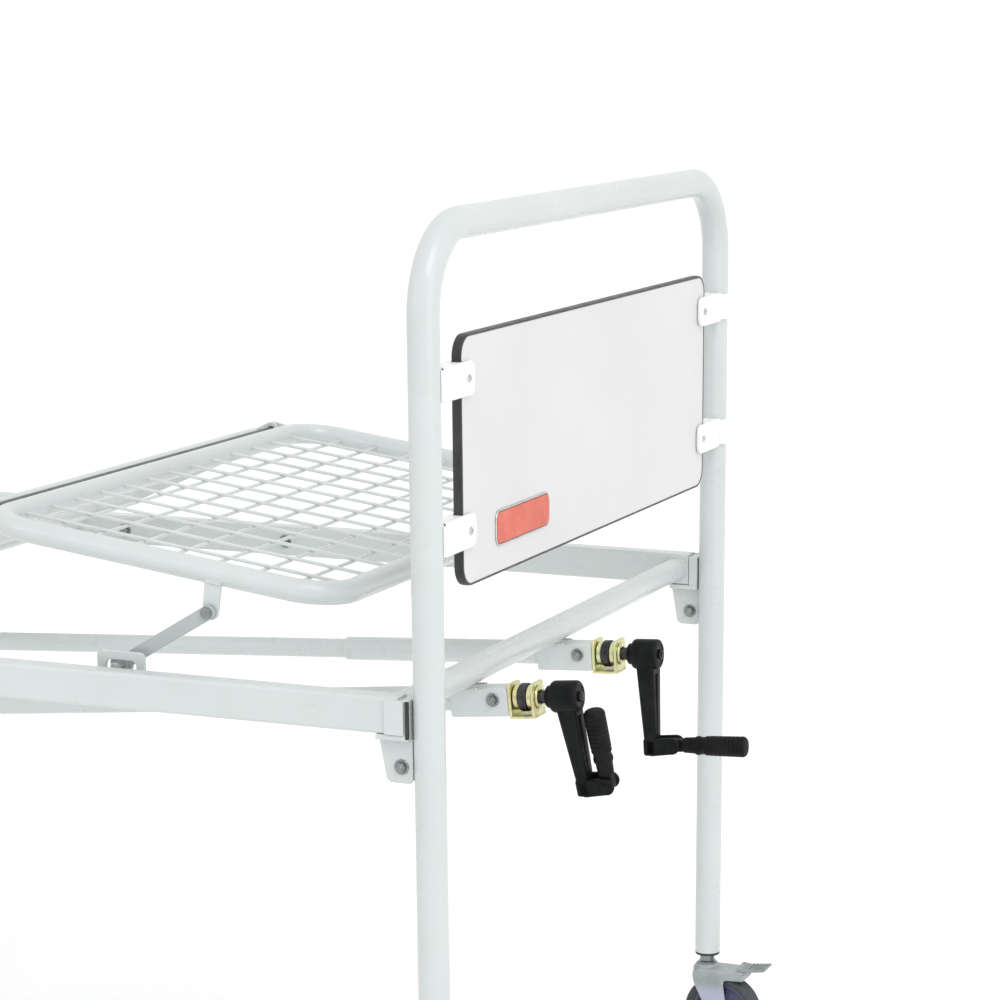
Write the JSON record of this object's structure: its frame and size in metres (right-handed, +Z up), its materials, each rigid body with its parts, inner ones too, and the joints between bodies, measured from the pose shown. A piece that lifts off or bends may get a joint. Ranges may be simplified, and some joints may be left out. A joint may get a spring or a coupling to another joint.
{
  "type": "manual ward bed",
  "caption": "Tubular steel ward bed on braked castors, with a crank-raised backrest and knee break on a wire mesh deck between panelled end bows.",
  "frame": {"origin": "middle of the bounding box in plan, on the floor under the castors", "axes": "+X towards the foot end, where the cranks are; +Y towards the far side; +Z up"},
  "size_m": [2.2464, 0.876, 1.21],
  "materials": {
    "white_coat": "glossy white powder coat",
    "deck_wire": "white powder coat on welded wire",
    "panel_grey": "pale grey laminate with a black edge band",
    "clip_white": "moulded white plastic",
    "pin_steel": "bright steel rod",
    "yoke_zinc": "yellow zinc plate",
    "screw_black": "oiled black steel",
    "crank_black": "black enamel",
    "grip_black": "moulded black plastic",
    "castor_housing": "moulded grey plastic",
    "castor_tyre": "dark rubber tread",
    "pedal_black": "moulded dark plastic"
  },
  "bodies": {
    "root": {"foot_end_bow": "white_coat", "head_end_bow": "white_coat", "foot_panel": "panel_grey", "head_panel": "panel_grey", "foot_clip_near_lower": "clip_white", "foot_clip_near_upper": "clip_white", "foot_clip_far_lower": "clip_white", "foot_clip_far_upper": "clip_white", "head_clip_near_lower": "clip_white", "head_clip_near_upper": "clip_white", "head_clip_far_lower": "clip_white", "head_clip_far_upper": "clip_white", "side_rail_near": "white_coat", "side_rail_far": "white_coat", "foot_cross_rail": "white_coat", "head_cross_rail": "white_coat", "rail_bracket_foot_near": "white_coat", "rail_bracket_foot_far": "white_coat", "rail_bracket_head_near": "white_coat", "rail_bracket_head_far": "white_coat", "seat_frame": "white_coat", "seat_mesh": "deck_wire", "backrest_hinge_rod": "pin_steel", "thigh_hinge_rod": "pin_steel", "strut_guide_near": "white_coat", "strut_guide_far": "white_coat", "backrest_crank_bracket": "white_coat", "backrest_bearing_yoke": "yoke_zinc", "knee_crank_bracket": "white_coat", "knee_bearing_yoke": "yoke_zinc"},
    "backrest": {"backrest_frame": "white_coat", "backrest_mesh": "deck_wire"},
    "thigh": {"thigh_frame": "white_coat", "thigh_mesh": "deck_wire", "knee_hinge_rod": "pin_steel"},
    "leg": {"leg_frame": "white_coat", "leg_mesh": "deck_wire"},
    "strut_near": {"leg_strut_near": "white_coat"},
    "strut_far": {"leg_strut_far": "white_coat"},
    "backrest_drive": {"backrest_drive_tube": "white_coat"},
    "knee_drive": {"knee_drive_tube": "white_coat"},
    "backrest_crank": {"backrest_screw": "screw_black", "backrest_crank_arm": "crank_black"},
    "knee_crank": {"knee_screw": "screw_black", "knee_crank_arm": "crank_black"},
    "backrest_grip": {"backrest_crank_grip": "grip_black"},
    "knee_grip": {"knee_crank_grip": "grip_black"},
    "castor_foot_near": {"castor_fork_foot_near": "castor_housing"},
    "wheel_foot_near": {"castor_wheel_foot_near": "castor_tyre"},
    "pedal_foot_near": {"brake_pedal_foot_near": "pedal_black"},
    "castor_foot_far": {"castor_fork_foot_far": "castor_housing"},
    "wheel_foot_far": {"castor_wheel_foot_far": "castor_tyre"},
    "pedal_foot_far": {"brake_pedal_foot_far": "pedal_black"},
    "castor_head_near": {"castor_fork_head_near": "castor_housing"},
    "wheel_head_near": {"castor_wheel_head_near": "castor_tyre"},
    "pedal_head_near": {"brake_pedal_head_near": "pedal_black"},
    "castor_head_far": {"castor_fork_head_far": "castor_housing"},
    "wheel_head_far": {"castor_wheel_head_far": "castor_tyre"},
    "pedal_head_far": {"brake_pedal_head_far": "pedal_black"}
  },
  "joints": [
    {"name": "backrest_tilt", "type": "hinge", "parent": "root", "child": "backrest", "pos_m": [-0.1452, 0, 0.658], "axis": [0, 1, 0], "range_deg": [-40, 30]},
    {"name": "thigh_tilt", "type": "hinge", "parent": "root", "child": "thigh", "pos_m": [0.1048, 0, 0.658], "axis": [0, -1, 0], "range_deg": [-23.19, 6.81]},
    {"name": "leg_fold", "type": "hinge", "parent": "thigh", "child": "leg", "pos_m": [0.387, 0, 0.77889], "axis": [0, 1, 0], "range_deg": [-30.81, 9.12]},
    {"name": "strut_near_pivot", "type": "hinge", "parent": "leg", "child": "strut_near", "pos_m": [0.68184, -0.385, 0.70103], "axis": [0, -1, 0], "range_deg": [-48.2, 14.23]},
    {"name": "strut_far_pivot", "type": "hinge", "parent": "leg", "child": "strut_far", "pos_m": [0.68184, 0.385, 0.70103], "axis": [0, -1, 0], "range_deg": [-48.2, 14.23]},
    {"name": "backrest_drive_slide", "type": "slide", "parent": "root", "child": "backrest_drive", "axis": [-0.9982, 0, -0.0594], "range_m": [-0.0928, 0.0697]},
    {"name": "knee_drive_slide", "type": "slide", "parent": "root", "child": "knee_drive", "axis": [0.9953, 0, 0.0968], "range_m": [-0.0581, 0.0174]},
    {"name": "backrest_crank_turn", "type": "hinge", "parent": "root", "child": "backrest_crank", "pos_m": [1.0028, 0.035, 0.599], "axis": [-0.9982, 0, -0.0594], "range_deg": [-3327.76, 2496.32]},
    {"name": "knee_crank_turn", "type": "hinge", "parent": "root", "child": "knee_crank", "pos_m": [1.0048, -0.21, 0.603], "axis": [-0.9953, 0, -0.0968], "range_deg": [-2080.95, 612.51]},
    {"name": "backrest_grip_fold", "type": "hinge", "parent": "backrest_crank", "child": "backrest_grip", "pos_m": [1.03687, 0.035, 0.49785], "axis": [0, 1, 0], "range_deg": [-90, 0]},
    {"name": "knee_grip_fold", "type": "hinge", "parent": "knee_crank", "child": "knee_grip", "pos_m": [1.0423, -0.18334, 0.50669], "axis": [-0.0251, 0.9659, 0.2576], "range_deg": [0, 90]},
    {"name": "castor_foot_near_swivel", "type": "hinge", "parent": "root", "child": "castor_foot_near", "pos_m": [0.9448, -0.42, 0.12], "axis": [0, 0, 1], "continuous": true},
    {"name": "wheel_foot_near_spin", "type": "hinge", "parent": "castor_foot_near", "child": "wheel_foot_near", "pos_m": [0.9668, -0.42, 0.05], "axis": [0, 1, 0], "continuous": true},
    {"name": "pedal_foot_near_press", "type": "hinge", "parent": "castor_foot_near", "child": "pedal_foot_near", "pos_m": [0.9928, -0.42, 0.113], "axis": [0, 1, 0], "range_deg": [0, 12]},
    {"name": "castor_foot_far_swivel", "type": "hinge", "parent": "root", "child": "castor_foot_far", "pos_m": [0.9448, 0.42, 0.12], "axis": [0, 0, 1], "continuous": true},
    {"name": "wheel_foot_far_spin", "type": "hinge", "parent": "castor_foot_far", "child": "wheel_foot_far", "pos_m": [0.9668, 0.42, 0.05], "axis": [0, 1, 0], "continuous": true},
    {"name": "pedal_foot_far_press", "type": "hinge", "parent": "castor_foot_far", "child": "pedal_foot_far", "pos_m": [0.9928, 0.42, 0.113], "axis": [0, 1, 0], "range_deg": [0, 12]},
    {"name": "castor_head_near_swivel", "type": "hinge", "parent": "root", "child": "castor_head_near", "pos_m": [-1.0952, -0.42, 0.12], "axis": [0, 0, 1], "continuous": true},
    {"name": "wheel_head_near_spin", "type": "hinge", "parent": "castor_head_near", "child": "wheel_head_near", "pos_m": [-1.0732, -0.42, 0.05], "axis": [0, 1, 0], "continuous": true},
    {"name": "pedal_head_near_press", "type": "hinge", "parent": "castor_head_near", "child": "pedal_head_near", "pos_m": [-1.0472, -0.42, 0.113], "axis": [0, 1, 0], "range_deg": [0, 12]},
    {"name": "castor_head_far_swivel", "type": "hinge", "parent": "root", "child": "castor_head_far", "pos_m": [-1.0952, 0.42, 0.12], "axis": [0, 0, 1], "continuous": true},
    {"name": "wheel_head_far_spin", "type": "hinge", "parent": "castor_head_far", "child": "wheel_head_far", "pos_m": [-1.0732, 0.42, 0.05], "axis": [0, 1, 0], "continuous": true},
    {"name": "pedal_head_far_press", "type": "hinge", "parent": "castor_head_far", "child": "pedal_head_far", "pos_m": [-1.0472, 0.42, 0.113], "axis": [0, 1, 0], "range_deg": [0, 12]}
  ],
  "couplings": [
    {"joint": "leg_fold", "follows": "thigh_tilt", "ratio": 1.3243},
    {"joint": "strut_near_pivot", "follows": "thigh_tilt", "ratio": 2.0743},
    {"joint": "strut_far_pivot", "follows": "thigh_tilt", "ratio": 2.0743},
    {"joint": "knee_drive_slide", "follows": "thigh_tilt", "m_per_rad": 0.14268},
    {"joint": "knee_crank_turn", "follows": "thigh_tilt", "ratio": 89.648},
    {"joint": "backrest_drive_slide", "follows": "backrest_tilt", "m_per_rad": 0.13233},
    {"joint": "backrest_crank_turn", "follows": "backrest_tilt", "ratio": 83.144}
  ]
}
